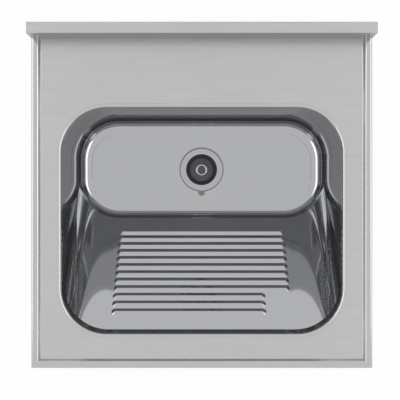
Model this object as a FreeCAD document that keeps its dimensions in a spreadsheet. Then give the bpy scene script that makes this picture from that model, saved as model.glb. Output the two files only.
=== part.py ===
import FreeCAD, Part
import os
import Sketcher

# Laundry sink of pressed stainless sheet: deck with raised bead, splashback, drawn bowl with a
# washboard ramp, and a plug waste. Millimetres, +Z up, +Y towards the wall. The origin is the middle
# of the seat plane, on the underside of the return flange that rests on the cabinet.

doc = FreeCAD.newDocument("laundry_sink")

# lengths closer than this count as the same when an edge is looked for
NEAR = 1e-4
FULL_TURN = 360

DRIVING_SIZES = {
    # deck and its folded edge
    "deck_length": 600,
    "deck_depth": 600,
    "sheet": 1,
    "skirt_height": 40,
    "bead_rise": 7,
    "bead_top_width": 11.5,
    "bead_foot_width": 18,
    "bead_outer_round": 3,
    "bead_break": 1.5,
    "return_flange": 16,
    # splashback
    "splash_rise": 42,
    "splash_depth": 19,
    "splash_round": 1.5,
    # bowl
    "bowl_length": 496,
    "front_ledge": 61.9,
    "rear_ledge": 141.5,
    "bowl_corner": 80,
    "bowl_depth": 214,
    "shoulder_depth": 29,
    "floor_front": 27,
    "floor_round": 21,
    "rim_roll": 6.4,
    "rim_land": 0.6,
    # washboard
    "ridge_half_length": 166,
    "ridge_short_end": 119,
    "ridge_width": 15.7,
    "ridge_crest": 1.8,
    "ridge_height": 3,
    "ridge_pitch": 17.1,
    "ridge_start": 56,
    "ridge_long_count": 9,
    "ridge_short_count": 3,
    "groove_overcut": 0.2,
    # stiffening channels
    "channel_gauge": 1.2,
    "channel_height": 14,
    "channel_lip": 8,
    "front_channel_width": 18,
    "rear_channel_width": 50,
    "front_channel_inset": 36,
    "rear_channel_inset": 70,
    "channel_length": 470,
    # cabinet brackets
    "bracket_gauge": 1.5,
    "bracket_width": 40,
    "bracket_drop": 36,
    "bracket_hole_radius": 2.75,
    "bracket_hole_drop": 20,
    "bracket_place": 190,
    # sound pads
    "pad_thickness": 3,
    "floor_pad_length": 110,
    "floor_pad_depth": 96,
    "floor_pad_gap": 85,
    "wall_pad_width": 80,
    "wall_pad_height": 115,
    "wall_pad_top": 45,
    "wall_pad_place": 30,
    "rear_pad_length": 240,
    # waste
    "drain_place": 58.6,
    "waste_flange_radius": 45,
    "waste_flange_thickness": 1.6,
    "waste_mouth_radius": 31,
    "waste_cup_radius": 33,
    "waste_cup_depth": 28,
    "waste_neck": 10,
    "waste_tail_radius": 23.9,
    "waste_tail_length": 24,
    "waste_bore_radius": 20.5,
    "seat_top_radius": 25.3,
    "seat_drop": 13,
    "seat_taper": 2.4,
    "seat_length": 11,
    "ledge_drop": 33,
    "lip_round": 1.4,
    "lug_radius": 6.2,
    "lug_reach": 2.6,
    "lug_step": 0.6,
    "flange_seal_thickness": 1,
    "fit_gap": 0.3,
    "recess_gap": 0.8,
    # clamping rings under the bowl
    "lower_gasket_thickness": 3,
    "ring_width": 10,
    "friction_washer_thickness": 1,
    "back_nut_height": 13,
    "back_nut_radius": 41,
    "back_nut_lug_length": 5,
    "back_nut_lug_width": 9,
    "back_nut_lug_count": 6,
    # strainer grid
    "grid_thickness": 1.5,
    "grid_hub_radius": 4,
    "grid_ring_width": 3,
    "grid_window_width": 5,
    "grid_window_count": 6,
    # plug
    "plug_step": 1,
    "plug_middle_radius": 21,
    "plug_crown_radius": 17,
    "boss_radius": 12,
    "boss_dish_radius": 8,
    "boss_height": 5,
    "boss_dish_depth": 3,
    "boss_round": 0.9,
    "stem_radius": 3,
    "stem_gap": 0.1,
    "plug_nut_radius": 7,
    "plug_nut_height": 3,
}

WORKED_SIZES = {
    "half_length": "Size.deck_length / 2",
    "half_depth": "Size.deck_depth / 2",
    "deck_top": "Size.skirt_height - Size.bead_rise",
    "deck_under": "Size.skirt_height - Size.bead_rise - Size.sheet",
    "slope_run": "Size.bead_foot_width - Size.bead_top_width",
    "slope_length": "sqrt(slope_run * slope_run + Size.bead_rise * Size.bead_rise)",
    "break_run": "Size.bead_break * slope_run / slope_length",
    "break_drop": "Size.bead_break * Size.bead_rise / slope_length",
    "slope_inset": "Size.sheet * (slope_length - slope_run) / Size.bead_rise",
    "splash_front": "half_depth - Size.splash_depth",
    "bowl_half": "Size.bowl_length / 2",
    "bowl_front": "half_depth - Size.front_ledge",
    "bowl_rear": "half_depth - Size.rear_ledge",
    "shoulder_level": "deck_top - Size.shoulder_depth",
    "floor_level": "deck_top - Size.bowl_depth",
    "floor_under": "floor_level - Size.sheet",
    "ramp_rise": "Size.bowl_depth - Size.shoulder_depth",
    "ramp_run": "bowl_front - Size.floor_front",
    "ramp_length": "sqrt(ramp_rise * ramp_rise + ramp_run * ramp_run)",
    "ramp_angle": "atan(ramp_rise / ramp_run) / 1 deg",
    "knee_offset": "Size.sheet * (ramp_length - ramp_run) / ramp_rise",
    "shoulder_offset": "Size.sheet * (ramp_length - ramp_rise) / ramp_run",
    "rim_reach": "Size.rim_roll + Size.rim_land",
    "ridge_run": "Size.ridge_half_length - Size.ridge_width / 2",
    "ridge_short_run": "Size.ridge_short_end - Size.ridge_width / 2",
    "ridge_flare": "(Size.ridge_width - Size.ridge_crest) / 2 / Size.ridge_height",
    "recess_radius": "Size.waste_flange_radius + Size.recess_gap",
    "recess_depth": "Size.waste_flange_thickness + Size.flange_seal_thickness",
    "recess_under": "floor_under - recess_depth",
    "lug_place": "Size.waste_flange_radius + Size.lug_reach",
    "drain_hole_radius": "Size.waste_cup_radius + Size.fit_gap",
    "seat_bottom_radius": "Size.seat_top_radius - Size.seat_taper",
    "seat_bottom": "Size.seat_drop + Size.seat_length",
    "plug_top_radius": "Size.seat_top_radius - Size.fit_gap",
    "plug_bottom_radius": "seat_bottom_radius - Size.fit_gap",
    "plug_crown": "Size.seat_drop - 2 * Size.plug_step",
    "plug_nut_flat": "Size.plug_nut_radius * sqrt(3) / 2",
    "ring_inner": "drain_hole_radius",
    "ring_outer": "drain_hole_radius + Size.ring_width",
    "gasket_bottom": "recess_under - Size.lower_gasket_thickness",
    "washer_bottom": "gasket_bottom - Size.friction_washer_thickness",
    "nut_bottom": "washer_bottom - Size.back_nut_height",
    "front_channel_centre": "half_depth - Size.front_channel_inset",
    "rear_channel_centre": "half_depth - Size.rear_channel_inset",
    "flange_inner": "half_length - Size.return_flange",
    "bracket_face": "flange_inner - Size.fit_gap",
}

size_sheet = doc.addObject("Spreadsheet::Sheet", "Size")
for row, (alias, value) in enumerate(DRIVING_SIZES.items(), start=1):
    size_sheet.set(f"A{row}", alias)
    size_sheet.set(f"B{row}", str(value))
    size_sheet.setAlias(f"B{row}", alias)

worked_sheet = doc.addObject("Spreadsheet::Sheet", "Worked")
for row, (alias, formula) in enumerate(WORKED_SIZES.items(), start=1):
    worked_sheet.set(f"A{row}", alias)
    worked_sheet.set(f"B{row}", "=" + formula)
    worked_sheet.setAlias(f"B{row}", alias)
doc.recompute()


def expression(text):
    """The full expression for a sum of aliases: every bare alias gets its sheet's name in front."""
    words = []
    for word in text.replace("(", " ( ").replace(")", " ) ").split():
        sign = "-" if word.startswith("-") and len(word) > 1 else ""
        name = word[len(sign):]
        if name in DRIVING_SIZES:
            name = "Size." + name
        elif name in WORKED_SIZES:
            name = "Worked." + name
        words.append(sign + name)
    return " ".join(words)


def number(text):
    return float(size_sheet.evalExpression(expression(text)))


def bind(target, path, text):
    target.setExpression(path, expression(text))


def new_body(label, place_y="0", place_z="0"):
    body = doc.addObject("PartDesign::Body", label)
    body.Label = label
    bind(body, "Placement.Base.y", place_y)
    bind(body, "Placement.Base.z", place_z)
    return body


def plane(body, role):
    return next(item for item in body.Origin.OriginFeatures if item.Role == role)


def new_sketch(body, role, level="0"):
    """A sketch on one of the body's origin planes, raised by the level along the plane's normal."""
    sketch = body.newObject("Sketcher::SketchObject", body.Label + "_sketch")
    sketch.AttachmentSupport = [(plane(body, role), "")]
    sketch.MapMode = "FlatFace"
    bind(sketch, "AttachmentOffset.Base.z", level)
    return sketch


def tie(sketch, kind, geometry, point, text):
    """Fix one coordinate of a sketch point to an expression."""
    index = sketch.addConstraint(Sketcher.Constraint(kind, -1, 1, geometry, point, number(text)))
    bind(sketch, f"Constraints[{index}]", text)


def tie_radius(sketch, geometry, text):
    index = sketch.addConstraint(Sketcher.Constraint("Radius", geometry, number(text)))
    bind(sketch, f"Constraints[{index}]", text)


def polygon(sketch, corners):
    """A closed outline of straight sides with every corner tied to the sheet."""
    places = [FreeCAD.Vector(number(x), number(y), 0) for x, y in corners]
    first = sketch.GeometryCount
    following = places[1:] + places[:1]
    for start, end in zip(places, following):
        sketch.addGeometry(Part.LineSegment(start, end), False)
    for index, (x, y) in enumerate(corners):
        after = (index + 1) % len(corners)
        sketch.addConstraint(Sketcher.Constraint("Coincident", first + index, 2, first + after, 1))
        tie(sketch, "DistanceX", first + index, 1, x)
        tie(sketch, "DistanceY", first + index, 1, y)


def rectangle(sketch, left, right, front, rear):
    polygon(sketch, [(left, front), (right, front), (right, rear), (left, rear)])


def circle(sketch, x, y, radius):
    centre = FreeCAD.Vector(number(x), number(y), 0)
    index = sketch.addGeometry(Part.Circle(centre, FreeCAD.Vector(0, 0, 1), number(radius)), False)
    tie(sketch, "DistanceX", index, 3, x)
    tie(sketch, "DistanceY", index, 3, y)
    tie_radius(sketch, index, radius)


def rounded_outline(sketch, corners, radius):
    """A closed outline, counter-clockwise, of arcs about the given centres joined by tangent lines.

    Two centres give a round-ended slot, where each arc is a half turn about the line between them.
    """
    centres = [FreeCAD.Vector(number(x), number(y), 0) for x, y in corners]
    turn = number(radius)
    arcs = []
    count = len(centres)
    for index, centre in enumerate(centres):
        before = centre - centres[index - 1]
        after = centres[(index + 1) % count] - centre
        start = FreeCAD.Vector(before.y, -before.x, 0).normalize()
        end = FreeCAD.Vector(after.y, -after.x, 0).normalize()
        middle = start + end
        if middle.Length < NEAR:
            middle = before
        middle.normalize()
        arc = Part.Arc(centre + start * turn, centre + middle * turn, centre + end * turn)
        arcs.append(sketch.addGeometry(arc, False))
    for index, arc in enumerate(arcs):
        following = arcs[(index + 1) % count]
        start = sketch.getPoint(arc, 2)
        end = sketch.getPoint(following, 1)
        line = sketch.addGeometry(Part.LineSegment(start, end), False)
        sketch.addConstraint(Sketcher.Constraint("Tangent", arc, 2, line, 1))
        sketch.addConstraint(Sketcher.Constraint("Tangent", line, 2, following, 1))
    for arc, (x, y) in zip(arcs, corners):
        tie(sketch, "DistanceX", arc, 3, x)
        tie(sketch, "DistanceY", arc, 3, y)
        tie_radius(sketch, arc, radius)


def rounded_rectangle(sketch, half, front, rear, radius):
    """A rounded rectangle about the middle line; front and rear are its Y limits."""
    right = f"{half} - ( {radius} )"
    left = f"( {radius} ) - ( {half} )"
    low = f"{front} + ( {radius} )"
    high = f"{rear} - ( {radius} )"
    rounded_outline(sketch, [(right, low), (right, high), (left, high), (left, low)], radius)


def slot(sketch, left, right, radius):
    """A round-ended slot along X through the sketch's origin line."""
    rounded_outline(sketch, [(right, "0"), (left, "0")], radius)


def finish(body, feature):
    body.Tip = feature
    doc.recompute()
    return feature


def pad(body, sketch, length, symmetric=False, downward=False):
    feature = body.newObject("PartDesign::Pad", body.Label + "_pad")
    feature.Profile = sketch
    bind(feature, "Length", length)
    feature.SideType = "Symmetric" if symmetric else "One side"
    feature.Reversed = downward
    return finish(body, feature)


def pocket(body, sketch, length, upward=False):
    """A pocket of the given depth, down from the sketch unless upward."""
    before = body.Shape.Volume
    feature = body.newObject("PartDesign::Pocket", body.Label + "_pocket")
    feature.Profile = sketch
    bind(feature, "Length", length)
    feature.Reversed = upward
    finish(body, feature)
    if body.Shape.Volume >= before:
        raise RuntimeError(body.Label + ": a pocket removed nothing")
    return feature


def loft(body, profiles, subtract=False):
    kind = "PartDesign::SubtractiveLoft" if subtract else "PartDesign::AdditiveLoft"
    feature = body.newObject(kind, body.Label + "_loft")
    feature.Profile = profiles[0]
    feature.Sections = profiles[1:]
    feature.Ruled = True
    return finish(body, feature)


def revolve(body, corners):
    """A turned piece from its half section, as (radius, height) corners."""
    sketch = new_sketch(body, "XZ_Plane")
    polygon(sketch, corners)
    feature = body.newObject("PartDesign::Revolution", body.Label + "_turned")
    feature.Profile = sketch
    feature.ReferenceAxis = (sketch, ["V_Axis"])
    feature.Angle = FULL_TURN
    return finish(body, feature)


def fillet(body, choose, radius):
    """Round the edges of the body that the choose test accepts."""
    base = body.Tip
    names = [f"Edge{i}" for i, edge in enumerate(base.Shape.Edges, start=1) if choose(edge)]
    if not names:
        raise RuntimeError(body.Label + ": no edge to round")
    feature = body.newObject("PartDesign::Fillet", body.Label + "_round")
    feature.Base = (base, names)
    bind(feature, "Radius", radius)
    return finish(body, feature)


def repeat(body, features, sketch, axis, spacing, count):
    """A row of copies along an axis of the sketch."""
    feature = body.newObject("PartDesign::LinearPattern", body.Label + "_row")
    feature.Originals = features
    feature.Direction = (sketch, [axis])
    feature.Reversed = True
    bind(feature, "Length", f"{spacing} * ( {count} - 1 )")
    bind(feature, "Occurrences", count)
    return finish(body, feature)


def ring(body, features, count):
    """Equal copies about the body's upright axis."""
    feature = body.newObject("PartDesign::PolarPattern", body.Label + "_ring")
    feature.Originals = features
    feature.Axis = (plane(body, "Z_Axis"), [""])
    feature.Angle = FULL_TURN
    bind(feature, "Occurrences", count)
    return finish(body, feature)


def level_at(edge, height):
    """Whether the whole edge lies at one height."""
    return all(abs(vertex.Z - height) < NEAR for vertex in edge.Vertexes)


def box(label, length, depth, height, x, y, z):
    piece = doc.addObject("Part::Box", label)
    piece.Label = label
    bind(piece, "Length", length)
    bind(piece, "Width", depth)
    bind(piece, "Height", height)
    bind(piece, "Placement.Base.x", x)
    bind(piece, "Placement.Base.y", y)
    bind(piece, "Placement.Base.z", z)
    return piece


def make_deck_panel():
    """Deck tray: a block with the deck sunk below the bead, hollowed to sheet from below."""
    body = new_body("deck_panel")
    outline = new_sketch(body, "XY_Plane")
    rectangle(outline, "-half_length", "half_length", "-half_depth", "half_depth")
    pad(body, outline, "skirt_height")

    sections = []
    for inset, level in (
        ("bead_top_width - bead_break", "skirt_height"),
        ("bead_top_width + break_run", "skirt_height - break_drop"),
        ("bead_foot_width - break_run", "deck_top + break_drop"),
        ("bead_foot_width + bead_break", "deck_top"),
    ):
        section = new_sketch(body, "XY_Plane", level)
        side = f"half_length - ( {inset} )"
        rectangle(section, f"-( {side} )", side, f"{inset} - half_depth", "half_depth + splash_depth")
        sections.append(section)
    loft(body, sections, subtract=True)

    ledge = new_sketch(body, "XY_Plane", "skirt_height")
    rectangle(ledge, "-deck_length", "deck_length", "splash_front", "deck_depth")
    pocket(body, ledge, "bead_rise")

    bead_top = number("skirt_height")
    half_length = number("half_length")
    half_depth = number("half_depth")

    def outer_edge(edge):
        middle = edge.CenterOfMass
        side = abs(abs(middle.x) - half_length) < NEAR
        front = abs(middle.y + half_depth) < NEAR
        return level_at(edge, bead_top) and (side or front)

    fillet(body, outer_edge, "bead_outer_round")

    hollow = new_sketch(body, "XY_Plane")
    side = "half_length - sheet"
    end = "half_depth - sheet"
    rectangle(hollow, f"-( {side} )", side, f"-( {end} )", end)
    pocket(body, hollow, "deck_under", upward=True)

    bead_hollow = (
        ("sheet", "0"),
        ("sheet", "skirt_height - bead_outer_round"),
        ("bead_outer_round", "skirt_height - sheet"),
        ("bead_top_width - slope_inset", "skirt_height - sheet"),
        ("bead_foot_width - slope_inset", "deck_under"),
        ("bead_foot_width - slope_inset", "0"),
    )
    sides = new_sketch(body, "XZ_Plane", "sheet - splash_front")
    for sign in ("", "-"):
        polygon(sides, [(f"{sign}( half_length - ( {u} ) )", z) for u, z in bead_hollow])
    pocket(body, sides, "splash_front + half_depth - 2 * sheet", upward=True)
    front = new_sketch(body, "YZ_Plane", "sheet - half_length")
    polygon(front, [(f"{u} - half_depth", z) for u, z in bead_hollow])
    pocket(body, front, "deck_length - 2 * sheet", upward=True)

    flange = new_sketch(body, "XY_Plane")
    rectangle(flange, "-half_length", "half_length", "-half_depth", "half_depth")
    inner = "half_depth - return_flange"
    rectangle(flange, "-flange_inner", "flange_inner", f"-( {inner} )", inner)
    pad(body, flange, "sheet")

    opening = new_sketch(body, "XY_Plane", "skirt_height")
    rounded_rectangle(
        opening,
        "bowl_half + rim_reach",
        "-bowl_front - rim_reach",
        "bowl_rear + rim_reach",
        "bowl_corner + rim_reach",
    )
    pocket(body, opening, "bead_rise + 2 * sheet")
    return body


def make_splashback():
    """Upstand along the wall: an inverted channel that stands on the rear strip of the deck."""
    body = new_body("splashback", place_z="deck_top")
    outline = new_sketch(body, "XY_Plane")
    rectangle(outline, "-half_length", "half_length", "splash_front", "half_depth")
    pad(body, outline, "splash_rise")
    top = number("splash_rise")
    long_edge = number("deck_length") - NEAR
    fillet(body, lambda edge: level_at(edge, top) and edge.Length > long_edge, "splash_round")
    hollow = new_sketch(body, "XY_Plane")
    rectangle(hollow, "-deck_length", "deck_length", "splash_front + sheet", "half_depth - sheet")
    pocket(body, hollow, "splash_rise - sheet", upward=True)
    return body


def make_splash_cap(label, x):
    """Plate welded into one open end of the splashback."""
    return box(
        label,
        "sheet",
        "splash_depth - 2 * sheet",
        "splash_rise - sheet",
        x,
        "splash_front + sheet",
        "deck_top",
    )


def bowl_sections(body, offset, levels):
    """Horizontal outlines of the bowl at rim, shoulder and floor, grown by the offset."""
    sketches = []
    for depth, front in levels:
        sketch = new_sketch(body, "XY_Plane", f"deck_top - ( {depth} )")
        half = f"bowl_half + {offset}"
        rounded_rectangle(sketch, half, front, f"bowl_rear + {offset}", f"bowl_corner + {offset}")
        sketches.append(sketch)
    return sketches


def ridge(body, right, along, sunk, overcut):
    """Outlines of one pressed ridge, foot and crest, square to the ramp.

    Sunk shifts the ridge outwards through the sheet, and overcut runs its flanks on past the foot.
    """
    foot = f"ridge_width / 2 + {overcut} * ridge_flare"
    sketches = []
    for radius, rise in ((foot, f"-{overcut}"), ("ridge_crest / 2", "ridge_height")):
        sketch = new_sketch(body, "XY_Plane")
        tilt = FreeCAD.Rotation(FreeCAD.Vector(-1, 0, 0), number("ramp_angle"))
        sketch.AttachmentOffset = FreeCAD.Placement(FreeCAD.Vector(0, 0, 0), tilt)
        up = f"( {rise} - {sunk} )"
        forward = f"( ( {along} ) * ramp_run - {up} * ramp_rise ) / ramp_length"
        climb = f"( ( {along} ) * ramp_rise + {up} * ramp_run ) / ramp_length"
        bind(sketch, "AttachmentOffset.Rotation.Angle", "ramp_angle")
        bind(sketch, "AttachmentOffset.Base.y", f"-floor_front - {forward}")
        bind(sketch, "AttachmentOffset.Base.z", f"floor_level + {climb}")
        slot(sketch, "-ridge_run", right, radius)
        sketches.append(sketch)
    return sketches


def make_bowl():
    """Drawn bowl: upright walls, flat floor, and a front ramp pressed with a washboard."""
    body = new_body("bowl")
    outer = bowl_sections(
        body,
        "sheet",
        [
            ("0", "-bowl_front - sheet"),
            ("shoulder_depth + shoulder_offset", "-bowl_front - sheet"),
            ("bowl_depth + sheet", "-floor_front - knee_offset"),
        ],
    )
    loft(body, outer)
    land = new_sketch(body, "XY_Plane", "deck_under")
    rounded_rectangle(
        land,
        "bowl_half + rim_reach",
        "-bowl_front - rim_reach",
        "bowl_rear + rim_reach",
        "bowl_corner + rim_reach",
    )
    pad(body, land, "sheet")
    inner = bowl_sections(
        body,
        "0",
        [
            ("0", "-bowl_front"),
            ("shoulder_depth", "-bowl_front"),
            ("bowl_depth", "-floor_front"),
        ],
    )
    loft(body, inner, subtract=True)
    floor = number("floor_level")
    under = number("floor_under")
    fillet(body, lambda edge: level_at(edge, floor), "floor_round")
    fillet(body, lambda edge: level_at(edge, under), "floor_round + sheet")

    rim = number("deck_top")
    rim_under = number("deck_under")
    half = number("bowl_half + sheet") + NEAR
    front = number("-bowl_front - sheet") - NEAR
    rear = number("bowl_rear + sheet") + NEAR

    def on_wall(edge):
        reach = edge.BoundBox
        return reach.XMax < half and reach.XMin > -half and reach.YMin > front and reach.YMax < rear

    fillet(body, lambda edge: level_at(edge, rim_under) and on_wall(edge), "rim_roll - sheet")
    fillet(body, lambda edge: level_at(edge, rim) and on_wall(edge), "rim_roll")

    recess_places = (("0", "recess_radius"), ("lug_place", "lug_radius + recess_gap"))
    for middle, radius in recess_places:
        boss = new_sketch(body, "XY_Plane", "floor_under")
        circle(boss, "0", f"drain_place - {middle}", f"{radius} + sheet")
        pad(body, boss, "recess_depth", downward=True)
    for middle, radius in recess_places:
        recess = new_sketch(body, "XY_Plane", "floor_level")
        circle(recess, "0", f"drain_place - {middle}", radius)
        pocket(body, recess, "recess_depth")
    hole = new_sketch(body, "XY_Plane", "floor_level")
    circle(hole, "0", "drain_place", "drain_hole_radius")
    pocket(body, hole, "recess_depth + 2 * sheet")

    after_long = "ridge_start + ridge_pitch * ridge_long_count"
    for right, along, count in (
        ("ridge_run", "ridge_start", "ridge_long_count"),
        ("ridge_short_run", after_long, "ridge_short_count"),
    ):
        for sunk, overcut, hollow in (("0", "0", False), ("sheet", "groove_overcut", True)):
            outlines = ridge(body, right, along, sunk, overcut)
            one = loft(body, outlines, subtract=hollow)
            repeat(body, [one], outlines[0], "V_Axis", "ridge_pitch", count)
    return body


def make_channel(label, middle, width):
    """Folded channel under the deck: two lips against the sheet, two walls and a web."""
    body = new_body(label, place_y=middle, place_z="deck_under")
    half = f"( {width} ) / 2"
    section = new_sketch(body, "YZ_Plane")
    right_half = [
        (half, "-channel_height"),
        (half, "-channel_gauge"),
        (f"{half} + channel_lip", "-channel_gauge"),
        (f"{half} + channel_lip", "0"),
        (f"{half} - channel_gauge", "0"),
        (f"{half} - channel_gauge", "channel_gauge - channel_height"),
    ]
    left_half = [(f"-( {y} )", z) for y, z in reversed(right_half)]
    polygon(section, right_half + left_half)
    pad(body, section, "channel_length", symmetric=True)
    return body


def make_bracket(label, sign, place):
    """Tab that hooks over the return flange and hangs inside the cabinet's side."""
    body = new_body(label, place_y=place)
    outline = [
        ("bracket_face - bracket_gauge", "sheet + bracket_gauge"),
        ("bracket_face - bracket_gauge", "-bracket_drop"),
        ("bracket_face", "-bracket_drop"),
        ("bracket_face", "sheet"),
        ("half_length - sheet - fit_gap", "sheet"),
        ("half_length - sheet - fit_gap", "sheet + bracket_gauge"),
    ]
    section = new_sketch(body, "XZ_Plane")
    polygon(section, [(f"{sign}( {x} )", z) for x, z in outline])
    pad(body, section, "bracket_width", symmetric=True)
    hole = new_sketch(body, "YZ_Plane", f"{sign}( bracket_face )")
    circle(hole, "0", "-bracket_hole_drop", "bracket_hole_radius")
    pocket(body, hole, "bracket_gauge", upward=sign == "-")
    return body


def make_side_pad(label, x):
    """Sound pad on one side wall of the bowl."""
    return box(
        label,
        "pad_thickness",
        "wall_pad_width",
        "wall_pad_height",
        x,
        "wall_pad_place - wall_pad_width / 2",
        "deck_top - wall_pad_top - wall_pad_height",
    )


def make_rear_pad(label):
    """Sound pad on the rear wall of the bowl."""
    return box(
        label,
        "rear_pad_length",
        "pad_thickness",
        "wall_pad_height",
        "-rear_pad_length / 2",
        "bowl_rear + sheet",
        "deck_top - wall_pad_top - wall_pad_height",
    )


def make_floor_pad(label, x):
    """Sound pad under the floor, beside the waste."""
    return box(
        label,
        "floor_pad_length",
        "floor_pad_depth",
        "pad_thickness",
        x,
        "drain_place - floor_pad_depth / 2",
        "floor_under - pad_thickness",
    )


def drain_body(label):
    """A body on the drain's axis, with its zero height at the top of the waste flange."""
    return new_body(label, place_y="drain_place", place_z="floor_level")


def make_waste_body():
    """Turned waste: flange, dished mouth, tapered plug seat, ledge for the grid and outlet tail."""
    body = drain_body("waste_body")
    tail_end = "-waste_cup_depth - waste_neck - waste_tail_length"
    revolve(
        body,
        [
            ("waste_mouth_radius + lip_round", "0"),
            ("waste_flange_radius - lip_round", "0"),
            ("waste_flange_radius", "-lip_round / 2"),
            ("waste_flange_radius", "-waste_flange_thickness"),
            ("waste_cup_radius", "-waste_flange_thickness"),
            ("waste_cup_radius", "-waste_cup_depth"),
            ("waste_tail_radius", "-waste_cup_depth - waste_neck"),
            ("waste_tail_radius", tail_end),
            ("waste_bore_radius", tail_end),
            ("waste_bore_radius", "-ledge_drop"),
            ("seat_bottom_radius", "-ledge_drop"),
            ("seat_bottom_radius", "-seat_bottom"),
            ("seat_top_radius", "-seat_drop"),
            ("waste_mouth_radius", "-lip_round"),
        ],
    )
    lug = new_sketch(body, "XY_Plane", "-lug_step")
    circle(lug, "0", "-lug_place", "lug_radius")
    pad(body, lug, "waste_flange_thickness - lug_step", downward=True)
    return body


def make_ring(label, inner, outer, top, bottom):
    body = drain_body(label)
    revolve(body, [(inner, top), (outer, top), (outer, bottom), (inner, bottom)])
    return body


def make_back_nut():
    """Ring nut with grip lugs round its rim."""
    body = drain_body("back_nut")
    top = "washer_bottom - floor_level"
    bottom = "nut_bottom - floor_level"
    skirt = "back_nut_radius - back_nut_lug_length / 2"
    revolve(
        body,
        [
            ("ring_inner", top),
            ("back_nut_radius", top),
            ("back_nut_radius", f"( {top} + {bottom} ) / 2"),
            (skirt, bottom),
            ("ring_inner", bottom),
        ],
    )
    lug = new_sketch(body, "XY_Plane", bottom)
    reach = "back_nut_radius + back_nut_lug_length"
    half = "back_nut_lug_width / 2"
    rectangle(lug, f"{skirt} - back_nut_lug_length / 2", reach, f"-{half}", half)
    one = pad(body, lug, "back_nut_height")
    ring(body, [one], "back_nut_lug_count")
    return body


def make_strainer_grid():
    """Flat grid on the ledge of the waste, with round-ended windows about a hub."""
    body = drain_body("strainer_grid")
    rim = "seat_bottom_radius - fit_gap"
    revolve(
        body,
        [
            ("0", "grid_thickness - ledge_drop"),
            (rim, "grid_thickness - ledge_drop"),
            (rim, "-ledge_drop"),
            ("0", "-ledge_drop"),
        ],
    )
    window = new_sketch(body, "XY_Plane", "grid_thickness - ledge_drop")
    start = "grid_hub_radius + grid_window_width / 2"
    end = "waste_bore_radius - grid_ring_width - grid_window_width / 2"
    slot(window, start, end, "grid_window_width / 2")
    one = pocket(body, window, "grid_thickness")
    ring(body, [one], "grid_window_count")
    return body


def make_plug():
    """Tapered rubber plug with two low steps on its top."""
    body = drain_body("plug")
    hole = "stem_radius + stem_gap"
    revolve(
        body,
        [
            (hole, "-plug_crown"),
            ("plug_crown_radius", "-plug_crown"),
            ("plug_crown_radius", "-plug_crown - plug_step"),
            ("plug_middle_radius", "-plug_crown - plug_step"),
            ("plug_middle_radius", "-seat_drop"),
            ("plug_top_radius", "-seat_drop"),
            ("plug_bottom_radius", "-seat_bottom"),
            (hole, "-seat_bottom"),
        ],
    )
    return body


def make_plug_boss():
    """Dished steel boss on the plug, with its stem through to the nut underneath."""
    body = drain_body("plug_boss")
    top = "boss_height - plug_crown"
    stem_end = "-seat_bottom - plug_nut_height - stem_gap"
    revolve(
        body,
        [
            ("0", f"{top} - boss_dish_depth"),
            ("boss_dish_radius - boss_round", f"{top} - boss_dish_depth"),
            ("boss_dish_radius", f"{top} - boss_round"),
            ("boss_dish_radius + boss_round", top),
            ("boss_radius - boss_round", top),
            ("boss_radius", f"{top} - boss_round"),
            ("boss_radius", "-plug_crown"),
            ("stem_radius", "-plug_crown"),
            ("stem_radius", stem_end),
            ("0", stem_end),
        ],
    )
    return body


def make_plug_nut():
    """Hexagon nut under the plug."""
    body = drain_body("plug_nut")
    outline = new_sketch(body, "XY_Plane", "-seat_bottom")
    half = "plug_nut_radius / 2"
    polygon(
        outline,
        [
            ("plug_nut_radius", "0"),
            (half, "plug_nut_flat"),
            (f"-{half}", "plug_nut_flat"),
            ("-plug_nut_radius", "0"),
            (f"-{half}", "-plug_nut_flat"),
            (half, "-plug_nut_flat"),
        ],
    )
    circle(outline, "0", "0", "stem_radius + stem_gap")
    pad(body, outline, "plug_nut_height", downward=True)
    return body


def check_and_write(pieces):
    for item in doc.Objects:
        if {"Invalid", "Error"} & set(item.State):
            raise RuntimeError(f"{item.Label} failed: {item.State}")
    for piece in pieces:
        if piece.Shape.isNull() or not piece.Shape.isValid():
            raise RuntimeError(piece.Label + " has no valid shape")
    os.makedirs("parts", exist_ok=True)
    for piece in pieces:
        piece.Shape.exportStep(f"parts/{piece.Label}.step")
        print(piece.Label, round(piece.Shape.Volume, 1), len(piece.Shape.Solids))


pieces = [
    make_deck_panel(),
    make_splashback(),
    make_splash_cap("splash_cap_left", "-half_length"),
    make_splash_cap("splash_cap_right", "half_length - sheet"),
    make_bowl(),
    make_channel("front_channel", "-front_channel_centre", "front_channel_width"),
    make_channel("rear_channel", "rear_channel_centre", "rear_channel_width"),
    make_bracket("bracket_front_left", "-", "-bracket_place"),
    make_bracket("bracket_front_right", "", "-bracket_place"),
    make_bracket("bracket_rear_left", "-", "bracket_place"),
    make_bracket("bracket_rear_right", "", "bracket_place"),
    make_floor_pad("floor_pad_left", "-floor_pad_gap - floor_pad_length"),
    make_floor_pad("floor_pad_right", "floor_pad_gap"),
    make_side_pad("wall_pad_left", "-bowl_half - sheet - pad_thickness"),
    make_side_pad("wall_pad_right", "bowl_half + sheet"),
    make_rear_pad("wall_pad_rear"),
    make_waste_body(),
    make_ring(
        "flange_seal",
        "drain_hole_radius + fit_gap",
        "waste_flange_radius - lip_round",
        "-waste_flange_thickness",
        "-recess_depth",
    ),
    make_ring(
        "lower_gasket",
        "ring_inner",
        "ring_outer",
        "recess_under - floor_level",
        "gasket_bottom - floor_level",
    ),
    make_ring(
        "friction_washer",
        "ring_inner",
        "ring_outer",
        "gasket_bottom - floor_level",
        "washer_bottom - floor_level",
    ),
    make_back_nut(),
    make_strainer_grid(),
    make_plug(),
    make_plug_boss(),
    make_plug_nut(),
]
doc.recompute()
check_and_write(pieces)
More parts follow.
